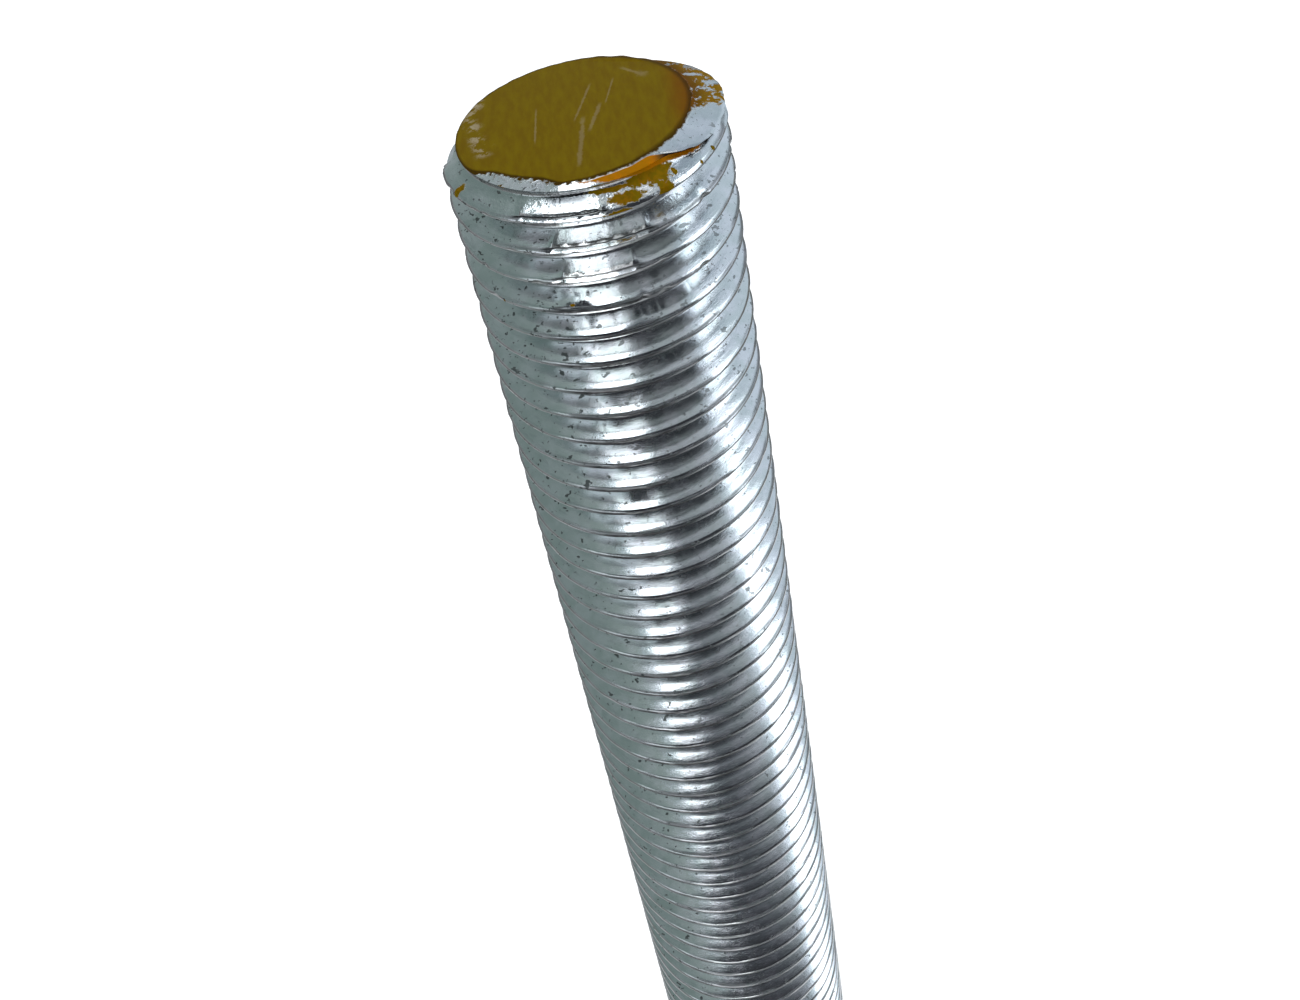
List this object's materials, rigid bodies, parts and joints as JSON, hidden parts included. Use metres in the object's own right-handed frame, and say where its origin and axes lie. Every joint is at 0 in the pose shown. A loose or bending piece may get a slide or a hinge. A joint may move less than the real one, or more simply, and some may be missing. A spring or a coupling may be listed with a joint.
{
  "type": "threaded rod",
  "caption": "Threaded rod with a coarse metric thread over its whole length, zinc plated, with the upper end painted yellow.",
  "frame": {"origin": "on the rod's axis, in the middle of the lower cut end", "axes": "+Z along the rod, from the plain lower end to the painted upper end; -Y is the side that faces the viewer"},
  "size_m": [0.024, 0.024, 0.2008],
  "materials": {
    "zinc": "bright zinc plating"
  },
  "bodies": {
    "root": {"threaded_rod": "zinc"}
  },
  "joints": []
}
